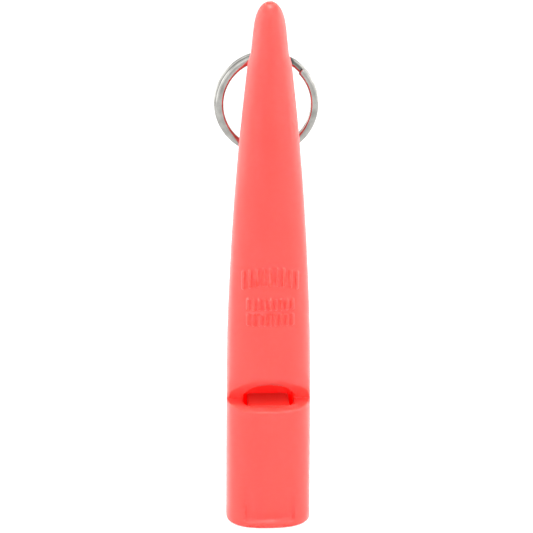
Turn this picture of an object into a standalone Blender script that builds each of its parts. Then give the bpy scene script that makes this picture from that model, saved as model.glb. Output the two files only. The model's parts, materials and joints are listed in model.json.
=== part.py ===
"""Training whistle: a one-piece moulded body, a fipple block glued into its mouth end, and a
steel split ring that swings in the lug on its back.

The whistle stands on its mouth end. +Z runs from the mouth end to the tip, the sound window faces
-Y, and the ring hangs behind the body, at +Y. Everything is in metres.
"""
import math

import bmesh
import bpy
from mathutils import Vector

MM = 0.001

# Outline of the body: (height, half-width or half-depth), joined by a smooth curve up to NOSE_Z
LENGTH = 82.0 * MM
NOSE_Z = 76.0 * MM
HALF_WIDTHS = [(0, 6.68), (18, 6.60), (30, 6.45), (40, 6.06), (52, 5.32), (64, 4.26), (NOSE_Z / MM, 2.90)]
HALF_DEPTHS = [(0, 5.48), (18, 5.44), (30, 5.25), (40, 4.95), (52, 4.34), (64, 3.56), (NOSE_Z / MM, 2.62)]
SHOULDER = 0.26 * MM
SHOULDER_LOW_Z = 72.6 * MM
SHOULDER_HIGH_Z = 74.4 * MM
NOSE_TAPER = 0.22
BODY_SQUARENESS = 2.5
TIP_SQUARENESS = 2.1
TIP_BLEND_Z = 60.0 * MM
TIP_FLAT = 0.4
RIM_ROUND = 0.5 * MM

# Bore: squarish behind the windway, oval in the sound chamber, narrowing to a rounded end
BORE_HALF_WIDTH = 4.05 * MM
BORE_HALF_DEPTH = 3.40 * MM
WINDWAY_SQUARENESS = 4.5
CHAMBER_SQUARENESS = 2.3
WINDWAY_END_Z = 20.2 * MM
CHAMBER_START_Z = 22.0 * MM
BORE_STRAIGHT_Z = 30.0 * MM
BORE_END_Z = 42.0 * MM
BORE_END_SCALE = 0.86
BORE_END_ROUND = 2.5 * MM

# Sound window: a V-shaped notch across the front, with a flat lip below and a ramp above
LIP_Z = 19.55 * MM
LIP_RISE = 0.14
RAMP_TOP_Z = 25.5 * MM
RAMP_RISE = 1.125
NOTCH_FRONT_Y = -5.5 * MM

# Shallow recess for the teeth, front and back of the mouth end
GRIP_HALF_WIDTH = 3.9 * MM
GRIP_TOP_Z = 9.5 * MM
GRIP_DEEP_Z = 2.3 * MM
GRIP_LOW_Z = 1.3 * MM
GRIP_DEPTH = 0.45 * MM

# Ring lug on the back: its eye spans two angles seen along X, and straight sides fair it into the body
LUG_HALF_WIDTH = 2.0 * MM
LUG_HOLE_Y = 5.0 * MM
LUG_HOLE_Z = 73.4 * MM
LUG_HOLE_R = 1.65 * MM
LUG_R = 2.9 * MM
LUG_ROOT_Y = 1.0 * MM
LUG_TOP_Z = 78.4 * MM
LUG_LOW_Z = 69.0 * MM
LUG_ARC_START_DEG = -100.0
LUG_ARC_END_DEG = 55.0
LUG_EDGE_ROUND = 0.5 * MM

# Fipple block
FIT_GAP = 0.3 * MM
BLOCK_FLAT_Y = -2.4 * MM
BLOCK_TOP_Z = 19.6 * MM
BLOCK_NECK_Z = 15.0 * MM
BLOCK_NECK_HALF_WIDTH = 3.25 * MM

# Split ring: two turns of flattened wire, wound from the front turn to the back turn
RING_OUTER_R = 8.0 * MM
WIRE_RADIAL = 1.2 * MM
WIRE_AXIAL = 0.68 * MM
TURN_PITCH = 0.74 * MM
WIRE_CORNER = 0.22 * MM
RING_X = -0.25 * MM
RING_TOP_DROP = 0.1 * MM
FRONT_END_DEG = 45.0
CROSSOVER_START_DEG = 372.0
CROSSOVER_END_DEG = 400.0
BACK_END_DEG = 727.0

# Faceting: points round each section, and sections along each piece
BODY_POINTS = 56
BORE_POINTS = 40
EYE_POINTS = 28
LUG_ARC_STEPS = 12
RIM_STEPS = 3
BODY_LEVELS = 18
SHOULDER_LEVELS = 3
NOSE_LEVELS = 10
WIRE_STATIONS = 100

CORAL = (0.95, 0.12, 0.10, 1.0)
STEEL = (0.62, 0.61, 0.58, 1.0)


def clear_scene():
    for obj in list(bpy.data.objects):
        bpy.data.objects.remove(obj, do_unlink=True)


def material(name, color, roughness, metallic):
    mat = bpy.data.materials.new(name)
    mat.use_nodes = True
    shader = mat.node_tree.nodes["Principled BSDF"]
    shader.inputs["Base Color"].default_value = color
    shader.inputs["Roughness"].default_value = roughness
    shader.inputs["Metallic"].default_value = metallic
    mat.diffuse_color = color
    return mat


def new_object(name, bm, mat=None):
    """Make an object from a bmesh, with all faces pointing out."""
    bmesh.ops.recalc_face_normals(bm, faces=bm.faces)
    mesh = bpy.data.meshes.new(name)
    bm.to_mesh(mesh)
    bm.free()
    if mat:
        mesh.materials.append(mat)
    obj = bpy.data.objects.new(name, mesh)
    bpy.context.scene.collection.objects.link(obj)
    return obj


def make_cutter(obj):
    obj.hide_render = True
    obj.display_type = "WIRE"
    return obj


def boolean(obj, tool, operation):
    mod = obj.modifiers.new(tool.name, "BOOLEAN")
    mod.operation = operation
    mod.solver = "EXACT"
    mod.object = tool


def smooth(obj, degrees):
    obj.data.shade_smooth()
    obj.data.set_sharp_from_angle(angle=math.radians(degrees))


def step(value, low, high):
    """Rise smoothly from 0 at low to 1 at high."""
    t = min(max((value - low) / (high - low), 0.0), 1.0)
    return t * t * (3 - 2 * t)


def curve_through(points, z):
    """Read a smooth curve through (height, size) points given in millimetres, at z in metres."""
    x = z / MM
    last = len(points) - 2
    i = 0
    while i < last and x > points[i + 1][0]:
        i += 1
    (x0, y0), (x1, y1) = points[i], points[i + 1]
    span = x1 - x0
    before = points[max(i - 1, 0)]
    after = points[min(i + 2, last + 1)]
    slope0 = (y1 - before[1]) / (x1 - before[0])
    slope1 = (after[1] - y0) / (after[0] - x0)
    t = min(max((x - x0) / span, 0.0), 1.0)
    a = (1 + 2 * t) * (1 - t) ** 2 * y0 + t * t * (3 - 2 * t) * y1
    b = t * (1 - t) ** 2 * span * slope0 - t * t * (1 - t) * span * slope1
    return (a + b) * MM


def nose_factor(z):
    """Shrink from 1 at the nose's start to 0 at the tip, along a blunt rounded profile."""
    u = max(z - NOSE_Z, 0.0) / (LENGTH - NOSE_Z)
    return (1 - NOSE_TAPER * u) * math.sqrt(max(1 - u ** 4, 0.0))


def body_half_width(z):
    shoulder = SHOULDER * step(z, SHOULDER_LOW_Z, SHOULDER_HIGH_Z)
    return (curve_through(HALF_WIDTHS, z) - shoulder) * nose_factor(z)


def body_half_depth(z):
    return curve_through(HALF_DEPTHS, z) * nose_factor(z)


def oblong(half_x, half_y, squareness, z, count):
    """Points of a rounded oblong (a superellipse) at height z."""
    points = []
    for i in range(count):
        angle = 2 * math.pi * i / count
        c, s = math.cos(angle), math.sin(angle)
        x = half_x * math.copysign(abs(c) ** (2 / squareness), c)
        y = half_y * math.copysign(abs(s) ** (2 / squareness), s)
        points.append(Vector((x, y, z)))
    return points


def loft(name, sections, mat=None):
    """Skin a stack of closed sections and cap both ends."""
    bm = bmesh.new()
    rings = [[bm.verts.new(p) for p in section] for section in sections]
    count = len(rings[0])
    for low, high in zip(rings, rings[1:]):
        for i in range(count):
            j = (i + 1) % count
            bm.faces.new((low[i], low[j], high[j], high[i]))
    bm.faces.new(list(reversed(rings[0])))
    bm.faces.new(rings[-1])
    return new_object(name, bm, mat)


def prism_x(name, outline, half_width):
    """Extrude a (y, z) outline along X, evenly to both sides."""
    bm = bmesh.new()
    face = bm.faces.new([bm.verts.new((-half_width, y, z)) for y, z in outline])
    moved = bmesh.ops.extrude_face_region(bm, geom=[face])["geom"]
    verts = [item for item in moved if isinstance(item, bmesh.types.BMVert)]
    bmesh.ops.translate(bm, vec=(2 * half_width, 0, 0), verts=verts)
    return new_object(name, bm)


def circle_yz(centre_y, centre_z, radius, start_deg, end_deg, steps):
    """Points along an arc in the YZ plane, both ends included."""
    points = []
    for i in range(steps + 1):
        angle = math.radians(start_deg + (end_deg - start_deg) * i / steps)
        points.append((centre_y + radius * math.cos(angle), centre_z + radius * math.sin(angle)))
    return points


def box(name, low, high):
    bm = bmesh.new()
    bmesh.ops.create_cube(bm, size=1.0)
    for vert in bm.verts:
        vert.co = [a if c < 0 else b for a, b, c in zip(low, high, vert.co)]
    return new_object(name, bm)


def body_shell(mat):
    rim = []
    for i in range(RIM_STEPS + 1):
        angle = math.radians(90 * i / RIM_STEPS)
        inset = RIM_ROUND * (1 - math.sin(angle))
        z = RIM_ROUND * (1 - math.cos(angle))
        rim.append((z, inset))
    levels = rim + [(i * SHOULDER_LOW_Z / BODY_LEVELS, 0.0) for i in range(1, BODY_LEVELS)]
    for i in range(SHOULDER_LEVELS + 1):
        levels.append((SHOULDER_LOW_Z + (SHOULDER_HIGH_Z - SHOULDER_LOW_Z) * i / SHOULDER_LEVELS, 0.0))
    for i in range(NOSE_LEVELS):
        rise = math.sin(math.pi / 2 * i / NOSE_LEVELS)
        levels.append((NOSE_Z + rise * (LENGTH - NOSE_Z), 0.0))
    sections = []
    for z, inset in levels:
        squareness = BODY_SQUARENESS + (TIP_SQUARENESS - BODY_SQUARENESS) * step(z, TIP_BLEND_Z, LENGTH)
        half_x = body_half_width(z) - inset
        half_y = body_half_depth(z) - inset
        sections.append(oblong(half_x, half_y, squareness, z, BODY_POINTS))
    sections.append([Vector((TIP_FLAT * p.x, TIP_FLAT * p.y, LENGTH)) for p in sections[-1]])
    return loft("whistle_body", sections, mat)


def lug():
    """The ear that carries the ring: a round eye, faired into the body above and below."""
    arc = circle_yz(LUG_HOLE_Y, LUG_HOLE_Z, LUG_R, LUG_ARC_START_DEG, LUG_ARC_END_DEG, LUG_ARC_STEPS)
    outline = [(LUG_ROOT_Y, LUG_LOW_Z)] + arc + [(LUG_ROOT_Y, LUG_TOP_Z)]
    obj = prism_x("lug_blank", outline, LUG_HALF_WIDTH)
    bevel = obj.modifiers.new("rounded_edges", "BEVEL")
    bevel.width = LUG_EDGE_ROUND
    bevel.segments = 3
    bevel.limit_method = "ANGLE"
    bevel.angle_limit = math.radians(50)
    return make_cutter(obj)


def lug_hole():
    outline = circle_yz(LUG_HOLE_Y, LUG_HOLE_Z, LUG_HOLE_R, 0, 360, EYE_POINTS)[:-1]
    return make_cutter(prism_x("lug_hole_cutter", outline, 2 * LUG_HALF_WIDTH))


def bore():
    """The bore's cutter: straight past the window, then drafted, with a rounded end."""
    start_end = BORE_END_Z - BORE_END_ROUND
    sections = []
    for z in (-MM, WINDWAY_END_Z):
        sections.append(oblong(BORE_HALF_WIDTH, BORE_HALF_DEPTH, WINDWAY_SQUARENESS, z, BORE_POINTS))
    for z in (CHAMBER_START_Z, BORE_STRAIGHT_Z):
        sections.append(oblong(BORE_HALF_WIDTH, BORE_HALF_DEPTH, CHAMBER_SQUARENESS, z, BORE_POINTS))
    for i in range(5):
        angle = math.radians(20 * i)
        z = start_end + BORE_END_ROUND * math.sin(angle)
        inset = BORE_END_ROUND * (1 - math.cos(angle))
        half_x = BORE_HALF_WIDTH * BORE_END_SCALE - inset
        half_y = BORE_HALF_DEPTH * BORE_END_SCALE - inset
        sections.append(oblong(half_x, half_y, CHAMBER_SQUARENESS, z, BORE_POINTS))
    return make_cutter(loft("bore_cutter", sections))


def window():
    """The notch's cutter: its lip and ramp meet in a line deep inside the body."""
    reach = (RAMP_TOP_Z - LIP_Z) / (RAMP_RISE + LIP_RISE)
    apex = (NOTCH_FRONT_Y + reach, LIP_Z + LIP_RISE * reach)
    out = 3 * MM
    outline = [
        (NOTCH_FRONT_Y - out, LIP_Z - LIP_RISE * out),
        apex,
        (NOTCH_FRONT_Y - out, RAMP_TOP_Z + RAMP_RISE * out),
    ]
    return make_cutter(prism_x("window_cutter", outline, 2 * BORE_HALF_WIDTH))


def grip(name, side):
    """A tooth recess's cutter: a long slope down to its floor and a short step back out."""
    face = side * body_half_depth(GRIP_DEEP_Z)
    out = side * 2 * MM
    outline = [
        (face, GRIP_TOP_Z),
        (face - side * GRIP_DEPTH, GRIP_DEEP_Z),
        (face, GRIP_LOW_Z),
        (face + out, GRIP_LOW_Z),
        (face + out, GRIP_TOP_Z),
    ]
    return make_cutter(prism_x(name, outline, GRIP_HALF_WIDTH))


def build_body(mat):
    body = body_shell(mat)
    boolean(body, lug(), "UNION")
    for tool in (lug_hole(), bore(), window(), grip("front_grip_cutter", -1), grip("back_grip_cutter", 1)):
        boolean(body, tool, "DIFFERENCE")
    smooth(body, 35)
    return body


def build_block(mat):
    """The plug that closes the mouth end: its flat front is the floor of the windway."""
    half_x = BORE_HALF_WIDTH - FIT_GAP
    half_y = BORE_HALF_DEPTH - FIT_GAP
    sections = [oblong(half_x, half_y, WINDWAY_SQUARENESS, z, BORE_POINTS) for z in (0.0, BLOCK_TOP_Z)]
    block = loft("fipple_block", sections, mat)
    far = 2 * BLOCK_TOP_Z
    flat = box("windway_cutter", (-far, -far, -far), (far, BLOCK_FLAT_Y, far))
    left = box("left_neck_cutter", (-far, -far, BLOCK_NECK_Z), (-BLOCK_NECK_HALF_WIDTH, far, far))
    right = box("right_neck_cutter", (BLOCK_NECK_HALF_WIDTH, -far, BLOCK_NECK_Z), (far, far, far))
    for tool in (flat, left, right):
        boolean(block, make_cutter(tool), "DIFFERENCE")
    smooth(block, 35)
    return block


def wire_section():
    """Rounded-rectangle wire section as (radial, axial) offsets."""
    half_r = WIRE_RADIAL / 2 - WIRE_CORNER
    half_a = WIRE_AXIAL / 2 - WIRE_CORNER
    points = []
    for corner, (sign_r, sign_a) in enumerate([(1, 1), (-1, 1), (-1, -1), (1, -1)]):
        for i in range(3):
            angle = math.radians(90 * corner + 45 * i)
            radial = sign_r * half_r + WIRE_CORNER * math.cos(angle)
            axial = sign_a * half_a + WIRE_CORNER * math.sin(angle)
            points.append((radial, axial))
    return points


def build_ring(mat):
    """Sweep the wire twice round. The angle runs clockwise from the top, seen from the front."""
    mean_r = RING_OUTER_R - WIRE_RADIAL / 2
    centre_z = -RING_TOP_DROP - mean_r
    section = wire_section()
    rings = []
    for i in range(WIRE_STATIONS + 1):
        degrees = FRONT_END_DEG + (BACK_END_DEG - FRONT_END_DEG) * i / WIRE_STATIONS
        angle = math.radians(degrees)
        across = (step(degrees, CROSSOVER_START_DEG, CROSSOVER_END_DEG) - 0.5) * TURN_PITCH
        points = []
        for radial, axial in section:
            r = mean_r + radial
            x = RING_X + r * math.sin(angle)
            z = centre_z + r * math.cos(angle)
            points.append(Vector((x, across + axial, z)))
        rings.append(points)
    ring = loft("split_ring", rings, mat)
    ring.location = (0, LUG_HOLE_Y, LUG_HOLE_Z)
    smooth(ring, 40)
    return ring


def main():
    clear_scene()
    build_body(material("coral_plastic", CORAL, 0.25, 0.0))
    build_block(material("coral_block", CORAL, 0.3, 0.0))
    build_ring(material("nickel_steel", STEEL, 0.2, 1.0))


main()
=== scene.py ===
"""Looks for the training whistle.

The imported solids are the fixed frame. This script stands a finely rounded moulding, block and
split ring in their places, gives them materials, and sets the stage, lights and camera.
The shapes are worked out in millimetres and made in metres.
"""
import json
import math

import bpy
import numpy as np
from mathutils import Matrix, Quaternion, Vector


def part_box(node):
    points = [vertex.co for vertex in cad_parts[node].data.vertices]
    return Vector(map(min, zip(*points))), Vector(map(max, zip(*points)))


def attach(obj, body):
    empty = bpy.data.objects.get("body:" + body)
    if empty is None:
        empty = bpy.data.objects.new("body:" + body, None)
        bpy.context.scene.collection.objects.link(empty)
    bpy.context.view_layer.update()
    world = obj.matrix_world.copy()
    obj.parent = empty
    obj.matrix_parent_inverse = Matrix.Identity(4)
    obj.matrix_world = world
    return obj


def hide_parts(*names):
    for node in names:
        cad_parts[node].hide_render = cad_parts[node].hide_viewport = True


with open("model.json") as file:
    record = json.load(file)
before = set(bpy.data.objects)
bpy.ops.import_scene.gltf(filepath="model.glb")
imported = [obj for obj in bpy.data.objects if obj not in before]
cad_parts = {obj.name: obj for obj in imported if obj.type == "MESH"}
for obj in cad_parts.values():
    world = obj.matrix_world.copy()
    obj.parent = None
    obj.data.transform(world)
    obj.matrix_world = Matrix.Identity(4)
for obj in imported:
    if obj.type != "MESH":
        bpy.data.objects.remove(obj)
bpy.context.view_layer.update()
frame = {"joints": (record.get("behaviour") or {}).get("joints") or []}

MM = 0.001

# Taken from the frame
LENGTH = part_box("whistle_body")[1].z / MM
HOLE_Y, HOLE_Z = (value / MM for value in frame["joints"][0]["pos_m"][1:])
RING_LOW, RING_HIGH = (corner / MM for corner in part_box("split_ring"))
BLOCK_TOP_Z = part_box("fipple_block")[1].z / MM

# Body outline: (height, half-width or half-depth), as in the design
NOSE_Z = LENGTH - 6.0
HALF_WIDTHS = [(0, 6.68), (18, 6.60), (30, 6.45), (40, 6.06), (52, 5.32), (64, 4.26), (NOSE_Z, 2.90)]
HALF_DEPTHS = [(0, 5.48), (18, 5.44), (30, 5.25), (40, 4.95), (52, 4.34), (64, 3.56), (NOSE_Z, 2.62)]
NOSE_TAPER = 0.22
SHOULDER = 0.26
SHOULDER_Z = (72.6, 74.4)
BODY_SQUARENESS = 2.5
TIP_SQUARENESS = 2.1
TIP_BLEND_Z = 60.0
RIM_ROUND = 0.45

# Bore, sound chamber and window
BORE_HALF_WIDTH = 4.05
BORE_HALF_DEPTH = 3.40
WINDWAY_SQUARENESS = 4.5
CHAMBER_SQUARENESS = 2.3
CHAMBER_BLEND_Z = (20.2, 22.0)
BORE_DRAFT_Z = 30.0
BORE_END_Z = 42.0
BORE_END_SCALE = 0.86
BORE_END_ROUND = 2.5
BORE_EDGE_ROUND = 0.12
LIP_Z = 19.55
LIP_RISE = 0.14
LIP_EDGE_ROUND = 0.28
RAMP_TOP_Z = 25.5
RAMP_RISE = 1.125
RAMP_EDGE_ROUND = 1.5
EDGE_BLEND_Z = (21.5, 24.0)
NOTCH_FRONT_Y = -5.5
NOTCH_ROOT_ROUND = 0.3

# Tooth recess, front and back of the mouth end
GRIP_DEPTH = 0.58
GRIP_SIDE_X = (3.5, 4.1)
GRIP_DEEP_Z = 1.8
GRIP_TOP_Z = 9.5
GRIP_STEP_Z = (0.8, 1.6)

# Lug
LUG_ROOT_Y = 1.0
LUG_HALF_WIDTH = 1.98
LUG_R = 2.89
LUG_EDGE_ROUND = 0.7
LUG_FILLET = 0.8
LUG_HOLE_R = 1.65
LUG_HOLE_ROUND = 0.4

# Raised plain bars on the front. A row is its height, half-width, half-height, pitch and arch.
RELIEF_ROWS = [(41.2, 4.1, 1.45, 1.03, 0.75), (36.8, 3.4, 0.9, 0.85, 0.0), (34.4, 3.4, 0.95, 0.85, 0.0)]
RELIEF_BAR_HALF_WIDTH = 0.23
RELIEF_HEIGHT = 0.25
RELIEF_EDGE = 0.18

# Fipple block
GLUE_GAP = 0.05
BLOCK_FLAT_Y = -2.4
BLOCK_NECK_Z = 15.0
BLOCK_NECK_HALF_WIDTH = 3.25
BLOCK_EDGE_ROUND = 0.18

# Split ring: angles run clockwise from the top, seen from the front
WIRE_RADIAL = 1.2
WIRE_AXIAL = 0.64
WIRE_SQUARENESS = 2.6
TURN_PITCH = 0.74
RING_CLEARANCE = 0.01
# How much smaller the front turn is, and how far it sits to the right and up
TURN_SHRINK = 0.16
TURN_SLIP = (0.14, -0.14)
FRONT_END_DEG = 45.0
CROSSOVER_DEG = (370.0, 395.0)
BACK_END_DEG = 727.0
# Degrees past a cut end and the wire's share of its full section there, which it has by END_DEG
END_SIZES = [(0.0, 0.82), (0.5, 0.95)]
END_DEG = 1.2
RING_STEPS = 460

# Mesh spacing, with the finer cells where there is detail
BODY_CELL = 0.2
BLOCK_CELL = 0.17
LONG_CELL = 0.5

# Light, where 1 is white
TENT_FRONT = (1.65, 1.65, 1.65, 1)
TENT_SIDE = (1.6, 1.6, 1.6, 1)
TENT_BACK = (1.2, 1.2, 1.2, 1)
TENT_TOP = (1.45, 1.45, 1.45, 1)
FLOOR_GLOW = 0.55

# Lamps in metres and watts. A softbox is its place on the right, its width and its power
SOFTBOXES = [("softbox", (0.42, 0.06, 0.14), 0.55, 1.70), ("front_softbox", (0.32, -0.36, 0.16), 0.60, 0.75)]
OVERHEAD_PLACE = (0.01, -0.10, 0.45)
OVERHEAD_SIZE = 0.045
OVERHEAD_WATTS = 1.90

# Camera, aimed at the middle of the whistle
CAMERA_AZIMUTH_DEG = -3.0
CAMERA_ELEVATION_DEG = 16.0
CAMERA_ROLL_DEG = 0.25
CAMERA_DISTANCE = 0.260
CAMERA_LENS = 114.2
CAMERA_SHIFT = (-0.0043, 0.0047)


# ---------------------------------------------------------------- fields
# A field is negative inside a shape, zero on its surface and positive outside, in millimetres.


def smooth_step(value, low, high):
    t = np.clip((value - low) / (high - low), 0.0, 1.0)
    return t * t * (3 - 2 * t)


def curve_through(points, at):
    """Read a smooth curve through (place, size) points."""
    place, size = np.array(points, float).T
    last = len(place) - 1
    i = np.clip(np.searchsorted(place, at) - 1, 0, last - 1)
    span = place[i + 1] - place[i]
    before, after = np.maximum(i - 1, 0), np.minimum(i + 2, last)
    slope0 = (size[i + 1] - size[before]) / (place[i + 1] - place[before])
    slope1 = (size[after] - size[i]) / (place[after] - place[i])
    t = np.clip((at - place[i]) / span, 0.0, 1.0)
    ends = (1 + 2 * t) * (1 - t) ** 2 * size[i] + t * t * (3 - 2 * t) * size[i + 1]
    return ends + (t * (1 - t) ** 2 * slope0 - t * t * (1 - t) * slope1) * span


def nose_factor(z):
    u = np.clip((z - NOSE_Z) / (LENGTH - NOSE_Z), 0.0, 1.0)
    return np.maximum((1 - NOSE_TAPER * u) * np.sqrt(1 - u ** 4), 1e-4)


def round_cut(a, b, radius):
    """Keep what is inside both fields, with the edge between them rounded."""
    flat = np.minimum(np.maximum(a, b), -radius)
    return flat + np.hypot(np.maximum(a + radius, 0), np.maximum(b + radius, 0))


def round_join(a, b, radius):
    """Keep what is inside either field, with a fillet between them."""
    flat = np.maximum(np.minimum(a, b), radius)
    return flat - np.hypot(np.maximum(radius - a, 0), np.maximum(radius - b, 0))


def oblong(x, y, half_x, half_y, squareness):
    """A rounded oblong section (a superellipse), measured along the ray from its centre."""
    reach = (np.abs(x) / half_x) ** squareness + (np.abs(y) / half_y) ** squareness
    reach = np.maximum(reach, 1e-9) ** (1 / squareness)
    radius = np.maximum(np.hypot(x, y), 1e-4)
    return radius * (1 - 1 / reach)


def bore(x, y, z):
    scale = 1 - (1 - BORE_END_SCALE) * np.clip((z - BORE_DRAFT_Z) / (BORE_END_Z - BORE_DRAFT_Z), 0, 1)
    blend = smooth_step(z, *CHAMBER_BLEND_Z)
    squareness = WINDWAY_SQUARENESS + (CHAMBER_SQUARENESS - WINDWAY_SQUARENESS) * blend
    tube = oblong(x, y, BORE_HALF_WIDTH * scale, BORE_HALF_DEPTH * scale, squareness)
    return round_cut(tube, z - BORE_END_Z, BORE_END_ROUND)


def lug(x, y, z):
    """The ear that carries the ring: a rounded stub with its eye centred on the ring's axis."""
    along = y - np.clip(y, LUG_ROOT_Y, HOLE_Y)
    side = np.hypot(along, z - HOLE_Z) - LUG_R
    return round_cut(side, np.abs(x) - LUG_HALF_WIDTH, LUG_EDGE_ROUND)


def notch(y, z):
    ramp = RAMP_TOP_Z - RAMP_RISE * (y - NOTCH_FRONT_Y)
    lip = LIP_Z + LIP_RISE * (y - NOTCH_FRONT_Y)
    below_ramp = (z - ramp) / math.hypot(1, RAMP_RISE)
    above_lip = (lip - z) / math.hypot(1, LIP_RISE)
    return round_cut(below_ramp, above_lip, NOTCH_ROOT_ROUND)


def grip_depth(x, z):
    across = 1 - smooth_step(np.abs(x), *GRIP_SIDE_X)
    slope = np.clip((GRIP_TOP_Z - z) / (GRIP_TOP_Z - GRIP_DEEP_Z), 0, 1) ** 3
    return GRIP_DEPTH * across * slope * smooth_step(z, *GRIP_STEP_Z)


def relief_bars():
    """(x, z, half-width, half-height) of each raised bar: an arched row over two straight rows."""
    bars = []
    for z, half_x, half_z, pitch, arch in RELIEF_ROWS:
        count = round(2 * half_x / pitch)
        for i in range(count + 1):
            x = half_x * (2 * i / count - 1)
            bars.append((x, z - arch * (x / half_x) ** 2, RELIEF_BAR_HALF_WIDTH, half_z))
    return bars


def relief_height(x, z):
    nearest = np.full(np.broadcast(x, z).shape, 9.0)
    for bar_x, bar_z, half_x, half_z in relief_bars():
        u = np.abs(x - bar_x)
        v = np.maximum(np.abs(z - bar_z) - half_z + half_x, 0)
        nearest = np.minimum(nearest, np.hypot(u, v) - half_x)
    return RELIEF_HEIGHT * (1 - smooth_step(nearest, -RELIEF_EDGE / 2, RELIEF_EDGE / 2))


def whistle(x, y, z):
    squareness = BODY_SQUARENESS + (TIP_SQUARENESS - BODY_SQUARENESS) * smooth_step(z, TIP_BLEND_Z, LENGTH)
    nose = nose_factor(z)
    half_x = (curve_through(HALF_WIDTHS, z) - SHOULDER * smooth_step(z, *SHOULDER_Z)) * nose
    half_y = curve_through(HALF_DEPTHS, z) * nose
    shape = oblong(x, y, half_x, half_y, squareness)
    shape = shape + grip_depth(x, z) - relief_height(x, z) * (y < 0)
    shape = np.where(z > LENGTH, np.maximum(shape, z - LENGTH), shape)
    shape = round_cut(shape, -z, RIM_ROUND)
    shape = round_join(shape, lug(x, y, z), LUG_FILLET)
    shape = round_cut(shape, LUG_HOLE_R - np.hypot(y - HOLE_Y, z - HOLE_Z), LUG_HOLE_ROUND)
    edge = LIP_EDGE_ROUND + (RAMP_EDGE_ROUND - LIP_EDGE_ROUND) * smooth_step(z, *EDGE_BLEND_Z)
    shape = round_cut(shape, -notch(y, z), edge)
    return round_cut(shape, -bore(x, y, z), BORE_EDGE_ROUND)


def fipple_block(x, y, z):
    plug = oblong(x, y, BORE_HALF_WIDTH - GLUE_GAP, BORE_HALF_DEPTH - GLUE_GAP, WINDWAY_SQUARENESS)
    plug = round_cut(plug, BLOCK_FLAT_Y - y, BLOCK_EDGE_ROUND)
    plug = round_cut(plug, -z, BLOCK_EDGE_ROUND)
    plug = round_cut(plug, z - BLOCK_TOP_Z, BLOCK_EDGE_ROUND)
    beside_neck = np.maximum(BLOCK_NECK_HALF_WIDTH - np.abs(x), BLOCK_NECK_Z - z)
    return round_cut(plug, -beside_neck, BLOCK_EDGE_ROUND)


# ---------------------------------------------------------------- meshing a field


def spaced(stops):
    """Grid lines between (place, spacing) stops, each spacing holding up to the next stop."""
    lines = []
    for (low, spacing), (high, _) in zip(stops, stops[1:]):
        count = max(round((high - low) / spacing), 1)
        lines.extend(low + (high - low) * i / count for i in range(count))
    return np.array(lines + [stops[-1][0]])


def slope_of(field, p):
    """The field's gradient at each point."""
    h = 0.01
    parts = []
    for axis in range(3):
        ahead, behind = p.copy(), p.copy()
        ahead[:, axis] += h
        behind[:, axis] -= h
        parts.append((field(*ahead.T) - field(*behind.T)) / (2 * h))
    return np.stack(parts, 1)


def onto_surface(field, p, rounds, reach):
    for _ in range(rounds):
        g = slope_of(field, p)
        move = -(field(*p.T) / np.maximum((g * g).sum(1), 1e-6))[:, None] * g
        far = np.linalg.norm(move, axis=1, keepdims=True)
        p = p + move * np.minimum(1, reach / np.maximum(far, 1e-9))
    return p


def surface_net(field, lines):
    """Wrap the zero surface of a field in quads: one point in each grid cell that it crosses."""
    grid = np.meshgrid(*lines, indexing="ij", sparse=True)
    values = np.broadcast_to(field(*grid), [len(line) for line in lines])
    inside = values < 0
    corners = [(i, j, k) for i in (0, 1) for j in (0, 1) for k in (0, 1)]
    cells = [n - 1 for n in inside.shape]
    count = np.zeros(cells, np.int8)
    for i, j, k in corners:
        count += inside[i:i + cells[0], j:j + cells[1], k:k + cells[2]]
    crossed = (count > 0) & (count < 8)
    number = np.full(cells, -1)
    number[crossed] = np.arange(crossed.sum())
    cell = np.argwhere(crossed)

    total, hits = np.zeros((len(cell), 3)), np.zeros(len(cell))
    for a in corners:
        for axis in range(3):
            if a[axis]:
                continue
            b = list(a)
            b[axis] = 1
            at_a, at_b = cell + a, cell + b
            value_a, value_b = values[tuple(at_a.T)], values[tuple(at_b.T)]
            hit = (value_a < 0) != (value_b < 0)
            t = np.where(hit, value_a / np.where(hit, value_a - value_b, 1), 0)
            point_a = np.stack([lines[n][at_a[:, n]] for n in range(3)], 1)
            point_b = np.stack([lines[n][at_b[:, n]] for n in range(3)], 1)
            total += np.where(hit[:, None], point_a + (point_b - point_a) * t[:, None], 0)
            hits += hit
    points = total / hits[:, None]

    quads = []
    for axis in range(3):
        u, v = (axis + 1) % 3, (axis + 2) % 3
        low = [slice(1, -1)] * 3
        high = [slice(1, -1)] * 3
        low[axis], high[axis] = slice(0, -1), slice(1, None)
        starts, ends = inside[tuple(low)], inside[tuple(high)]
        for leaving in (True, False):
            at = np.argwhere((starts != ends) & (starts == leaving)) + 1
            at[:, axis] -= 1
            ring = []
            for du, dv in ((1, 1), (0, 1), (0, 0), (1, 0)):
                near = at.copy()
                near[:, u] -= du
                near[:, v] -= dv
                ring.append(number[tuple(near.T)])
            quads.append(np.stack(ring if leaving else ring[::-1], 1))
    return points, np.concatenate(quads)


def relax(field, points, quads, rounds, reach):
    """Even out the points along the surface."""
    ends = np.concatenate([quads[:, [0, 1]], quads[:, [1, 2]], quads[:, [2, 3]], quads[:, [3, 0]]])
    for _ in range(rounds):
        total, hits = np.zeros_like(points), np.zeros(len(points))
        for a, b in ((0, 1), (1, 0)):
            for axis in range(3):
                total[:, axis] += np.bincount(ends[:, a], points[ends[:, b], axis], len(points))
            hits += np.bincount(ends[:, a], minlength=len(points))
        points = 0.5 * points + 0.5 * total / hits[:, None]
        points = onto_surface(field, points, 2, reach)
    return points


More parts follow.
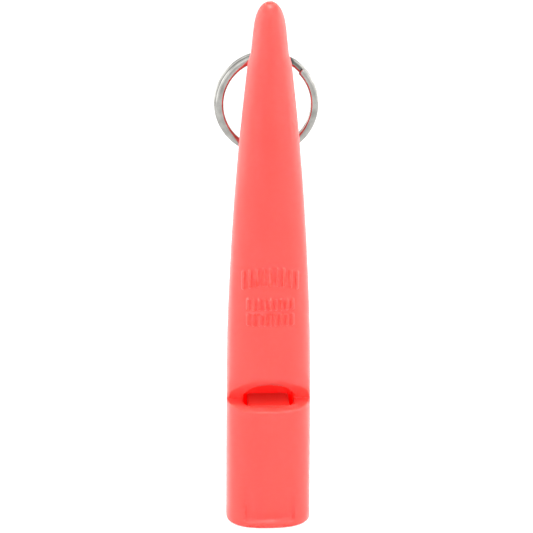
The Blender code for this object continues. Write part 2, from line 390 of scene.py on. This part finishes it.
def add_mesh(name, points, faces, normals=None):
    mesh = bpy.data.meshes.new(name)
    mesh.from_pydata((points * MM).tolist(), [], faces)
    mesh.shade_smooth()
    if normals is not None:
        mesh.normals_split_custom_set_from_vertices(normals.tolist())
    obj = bpy.data.objects.new(name, mesh)
    bpy.context.scene.collection.objects.link(obj)
    return obj


def mould(name, field, lines, relax_rounds=3):
    """Make the mesh of a field, with its points and normals taken from the field itself."""
    reach = 0.5 * max(np.diff(lines[0]).max(), np.diff(lines[1]).max())
    points, quads = surface_net(field, lines)
    points = onto_surface(field, points, 3, reach)
    points = relax(field, points, quads, relax_rounds, reach)
    normals = slope_of(field, points)
    normals /= np.linalg.norm(normals, axis=1, keepdims=True)
    return add_mesh(name, points, quads.tolist(), normals)


def make_body():
    x_lines = spaced([(-7.0, BODY_CELL), (7.0, BODY_CELL)])
    y_lines = spaced([(-5.9, BODY_CELL), (8.3, BODY_CELL)])
    z_lines = spaced([
        (-0.3, BODY_CELL), (10.0, LONG_CELL),
        (18.5, BODY_CELL), (27.0, LONG_CELL),
        (32.5, BODY_CELL), (43.6, LONG_CELL),
        (66.0, BODY_CELL), (LENGTH + 0.4, BODY_CELL),
    ])
    return mould("whistle_moulding", whistle, [x_lines, y_lines, z_lines])


def make_block():
    x_lines = spaced([(-4.4, BLOCK_CELL), (4.4, BLOCK_CELL)])
    y_lines = spaced([(-2.9, BLOCK_CELL), (3.8, BLOCK_CELL)])
    z_lines = spaced([
        (-0.3, BLOCK_CELL), (1.0, LONG_CELL),
        (14.0, BLOCK_CELL), (BLOCK_TOP_Z + 0.4, BLOCK_CELL),
    ])
    return mould("fipple_plug", fipple_block, [x_lines, y_lines, z_lines])


def wire_section(count=24):
    points = []
    for i in range(count):
        angle = 2 * math.pi * i / count
        c, s = math.cos(angle), math.sin(angle)
        radial = math.copysign(abs(c) ** (2 / WIRE_SQUARENESS), c) * WIRE_RADIAL / 2
        axial = math.copysign(abs(s) ** (2 / WIRE_SQUARENESS), s) * WIRE_AXIAL / 2
        points.append((radial, axial))
    return points


def make_ring():
    """Sweep the wire twice round, easing in the cut ends."""
    centre = (RING_LOW + RING_HIGH) / 2
    mean_r = (RING_HIGH.z - RING_LOW.z - WIRE_RADIAL) / 2 - RING_CLEARANCE
    section = wire_section()
    start, end = FRONT_END_DEG + END_DEG, BACK_END_DEG - END_DEG
    stations = [(FRONT_END_DEG + past, size) for past, size in END_SIZES]
    stations += [(start + (end - start) * i / RING_STEPS, 1.0) for i in range(RING_STEPS + 1)]
    stations += [(BACK_END_DEG - past, size) for past, size in reversed(END_SIZES)]
    points, faces = [], []
    for degrees, size in stations:
        angle = math.radians(degrees)
        back = smooth_step(degrees, *CROSSOVER_DEG)
        across = (back - 0.5) * TURN_PITCH
        slip_x, slip_z = ((1 - back) * slip for slip in TURN_SLIP)
        for radial, axial in section:
            r = mean_r + radial * size - (1 - back) * TURN_SHRINK
            points.append((r * math.sin(angle) + slip_x, across + axial * size, r * math.cos(angle) + slip_z))
    count = len(section)
    for s in range(len(stations) - 1):
        for i in range(count):
            j = (i + 1) % count
            faces.append((s * count + i, s * count + j, (s + 1) * count + j, (s + 1) * count + i))
    faces.append(tuple(reversed(range(count))))
    faces.append(tuple(range((len(stations) - 1) * count, len(stations) * count)))
    ring = add_mesh("double_turn_ring", np.array(points), faces)
    ring.data.set_sharp_from_angle(angle=math.radians(50))
    ring.location = centre * MM
    return ring


# ---------------------------------------------------------------- materials


class Nodes:
    """A short way to wire up the nodes of a material or a world."""

    def __init__(self, owner):
        owner.use_nodes = True
        self.tree = owner.node_tree

    def add(self, kind, inputs=None, **settings):
        node = self.tree.nodes.new(kind)
        for key, value in settings.items():
            setattr(node, key, value)
        for key, value in (inputs or {}).items():
            self.feed(node, key, value)
        return node

    def feed(self, node, key, value):
        if isinstance(value, bpy.types.NodeSocket):
            self.tree.links.new(value, node.inputs[key])
        else:
            node.inputs[key].default_value = value

    def math(self, operation, a, b=0.0):
        return self.add("ShaderNodeMath", {0: a, 1: b}, operation=operation).outputs[0]

    def noise(self, vector, scale, detail=3.0):
        node = self.add("ShaderNodeTexNoise", {"Vector": vector, "Scale": scale, "Detail": detail})
        return node.outputs["Fac"]

    def between(self, value, low, high, start=0.2, end=0.8):
        """Carry a value from the range start to end over to the range low to high, easing at both ends."""
        ranges = {"Value": value, "From Min": start, "From Max": end, "To Min": low, "To Max": high}
        return self.add("ShaderNodeMapRange", ranges, interpolation_type="SMOOTHSTEP").outputs["Result"]

    def blend(self, fac, low, high):
        node = self.add("ShaderNodeMix", {"Factor": fac}, data_type="RGBA")
        low_socket, high_socket = (s for s in node.inputs if s.name in "AB" and s.type == "RGBA")
        for socket, value in ((low_socket, low), (high_socket, high)):
            if isinstance(value, bpy.types.NodeSocket):
                self.tree.links.new(value, socket)
            else:
                socket.default_value = value
        return next(s for s in node.outputs if s.type == "RGBA")


def new_material(name):
    material = bpy.data.materials.new(name)
    nodes = Nodes(material)
    return material, nodes, nodes.tree.nodes["Principled BSDF"]


def plastic(name, low, high, translucency):
    """Translucent moulded plastic: flow marks along the mould, a fine skin and a parting line."""
    material, m, shader = new_material(name)
    place = m.add("ShaderNodeTexCoord").outputs["Object"]
    along = m.add("ShaderNodeMapping", {"Vector": place, "Scale": (420, 420, 45)}).outputs[0]
    flow = m.noise(along, 1.0, 2.0)
    m.feed(shader, "Base Color", m.blend(m.between(flow, 0.0, 1.0), low, high))
    m.feed(shader, "Roughness", m.between(flow, 0.31, 0.37))
    skin = m.between(m.noise(place, 1800.0, 2.0), 0.0, 0.12)
    y = m.add("ShaderNodeSeparateXYZ", {0: place}).outputs[1]
    parting_line = m.between(m.math("ABSOLUTE", y), 1.0, 0.0, 0.00004, 0.00014)
    height = m.math("ADD", skin, parting_line)
    bump = m.add("ShaderNodeBump", {"Height": height, "Strength": 0.35, "Distance": 0.00003})
    m.feed(shader, "Normal", bump.outputs[0])
    m.feed(shader, "IOR", 1.27)
    m.feed(shader, "Coat Weight", 0.3)
    m.feed(shader, "Coat Roughness", 0.05)
    m.feed(shader, "Subsurface Weight", translucency)
    m.feed(shader, "Subsurface Radius", (1.0, 0.05, 0.035))
    m.feed(shader, "Subsurface Scale", 0.010)
    return material


def steel(name):
    """Nickel-plated wire: fine scratches round the ring, and painted shade in the gap between its turns and
    where the wire crosses over.
    """
    material, m, shader = new_material(name)
    place = m.add("ShaderNodeTexCoord").outputs["Object"]
    x, y, z = m.add("ShaderNodeSeparateXYZ", {0: place}).outputs
    radius = m.math("SQRT", m.math("ADD", m.math("MULTIPLY", x, x), m.math("MULTIPLY", z, z)))
    across = m.math("MULTIPLY", radius, 9000.0)
    deep = m.math("MULTIPLY", y, 9000.0)
    angle = m.math("MULTIPLY", m.math("ARCTAN2", x, z), 6.0)
    scratch = m.noise(m.add("ShaderNodeCombineXYZ", {0: across, 1: deep, 2: angle}).outputs[0], 1.0, 4.0)
    patch = m.between(m.noise(place, 500.0), 0.0, 1.0)
    face = m.blend(patch, (0.20, 0.197, 0.185, 1), (0.34, 0.336, 0.318, 1))
    # Painted shade: the base colour goes near black within 0.1 mm of the mid-plane between the two turns, on
    # the faces at the gap and along the crossover.
    painted_gap_shade = m.between(m.math("ABSOLUTE", y), 1.0, 0.0, 0.00003, 0.00010)
    m.feed(shader, "Base Color", m.blend(painted_gap_shade, face, (0.055, 0.054, 0.050, 1)))
    m.feed(shader, "Metallic", 1.0)
    m.feed(shader, "Roughness", m.between(scratch, 0.08, 0.20))
    bump = m.add("ShaderNodeBump", {"Height": scratch, "Strength": 0.15, "Distance": 0.00004})
    m.feed(shader, "Normal", bump.outputs[0])
    return material


def paper(name):
    material, m, shader = new_material(name)
    place = m.add("ShaderNodeTexCoord").outputs["Object"]
    grain = m.between(m.noise(place, 900.0), 0.0, 1.0)
    m.feed(shader, "Base Color", m.blend(grain, (0.44, 0.44, 0.44, 1), (0.46, 0.46, 0.46, 1)))
    m.feed(shader, "Roughness", 0.9)
    m.feed(shader, "Emission Color", (1, 1, 1, 1))
    m.feed(shader, "Emission Strength", FLOOR_GLOW)
    return material


# ---------------------------------------------------------------- stage, lights, camera


def make_floor():
    size = 4.0
    steps = 24
    points, faces = [(0.0, 0.0, 0.0)], []
    for i in range(steps):
        angle = 2 * math.pi * i / steps
        points.append((size / MM * math.cos(angle), size / MM * math.sin(angle), 0.0))
        faces.append((0, 1 + i, 1 + (i + 1) % steps))
    floor = add_mesh("floor", np.array(points), faces)
    floor.data.materials.append(paper("pale_paper"))


def make_world():
    """A light tent: brightest in front and at the sides, less so overhead, and least at the back."""
    world = bpy.data.worlds.new("light_tent")
    bpy.context.scene.world = world
    w = Nodes(world)
    direction = w.add("ShaderNodeTexCoord").outputs["Generated"]
    _, y, z = w.add("ShaderNodeSeparateXYZ", {0: direction}).outputs
    to_side = w.between(y, 0.0, 1.0, -1.0, -0.1)
    to_back = w.between(y, 0.0, 1.0, -0.1, 1.0)
    wall = w.blend(to_back, w.blend(to_side, TENT_FRONT, TENT_SIDE), TENT_BACK)
    overhead = w.between(z, 0.0, 1.0, 0.15, 0.75)
    w.feed(w.tree.nodes["Background"], "Color", w.blend(overhead, wall, TENT_TOP))


def area_light(name, place, size, watts):
    light = bpy.data.lights.new(name, "AREA")
    light.shape = "DISK"
    light.size = size
    light.energy = watts
    obj = bpy.data.objects.new(name, light)
    obj.location = place
    aim = Vector((0, 0, LENGTH / 2 * MM))
    obj.rotation_euler = (aim - obj.location).to_track_quat("-Z", "Y").to_euler()
    bpy.context.scene.collection.objects.link(obj)


def make_lamps():
    for side, name in ((-1, "left"), (1, "right")):
        for kind, (x, y, z), size, watts in SOFTBOXES:
            area_light(f"{name}_{kind}", (side * x, y, z), size, watts)
    area_light("overhead_lamp", OVERHEAD_PLACE, OVERHEAD_SIZE, OVERHEAD_WATTS)


def make_camera():
    """Look from the front, a little high and a little to the left."""
    azimuth, elevation = math.radians(CAMERA_AZIMUTH_DEG), math.radians(CAMERA_ELEVATION_DEG)
    away = Vector((
        math.sin(azimuth) * math.cos(elevation),
        -math.cos(azimuth) * math.cos(elevation),
        math.sin(elevation),
    ))
    data = bpy.data.cameras.new("camera")
    data.sensor_width = 36.0
    data.lens = CAMERA_LENS
    data.clip_start = 0.01
    data.shift_x, data.shift_y = CAMERA_SHIFT
    camera = bpy.data.objects.new("camera", data)
    camera.location = Vector((0, 0, LENGTH / 2 * MM)) + CAMERA_DISTANCE * away
    roll = Quaternion((0, 0, 1), math.radians(CAMERA_ROLL_DEG))
    camera.rotation_euler = ((-away).to_track_quat("-Z", "Y") @ roll).to_euler()
    bpy.context.scene.collection.objects.link(camera)
    bpy.context.scene.camera = camera


def main():
    bpy.context.scene.view_settings.view_transform = "Standard"
    make_camera()
    make_world()
    make_floor()
    make_lamps()

    body = make_body()
    body.data.materials.append(plastic("coral_plastic", (1.0, 0.049, 0.041, 1), (1.0, 0.053, 0.044, 1), 1.0))
    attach(body, "whistle")
    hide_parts("whistle_body")

    block = make_block()
    block.data.materials.append(plastic("coral_block", (1.0, 0.048, 0.036, 1), (1.0, 0.052, 0.039, 1), 0.0))
    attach(block, "whistle")
    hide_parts("fipple_block")

    ring = make_ring()
    ring.data.materials.append(steel("nickel_plate"))
    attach(ring, "ring")
    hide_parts("split_ring")


main()
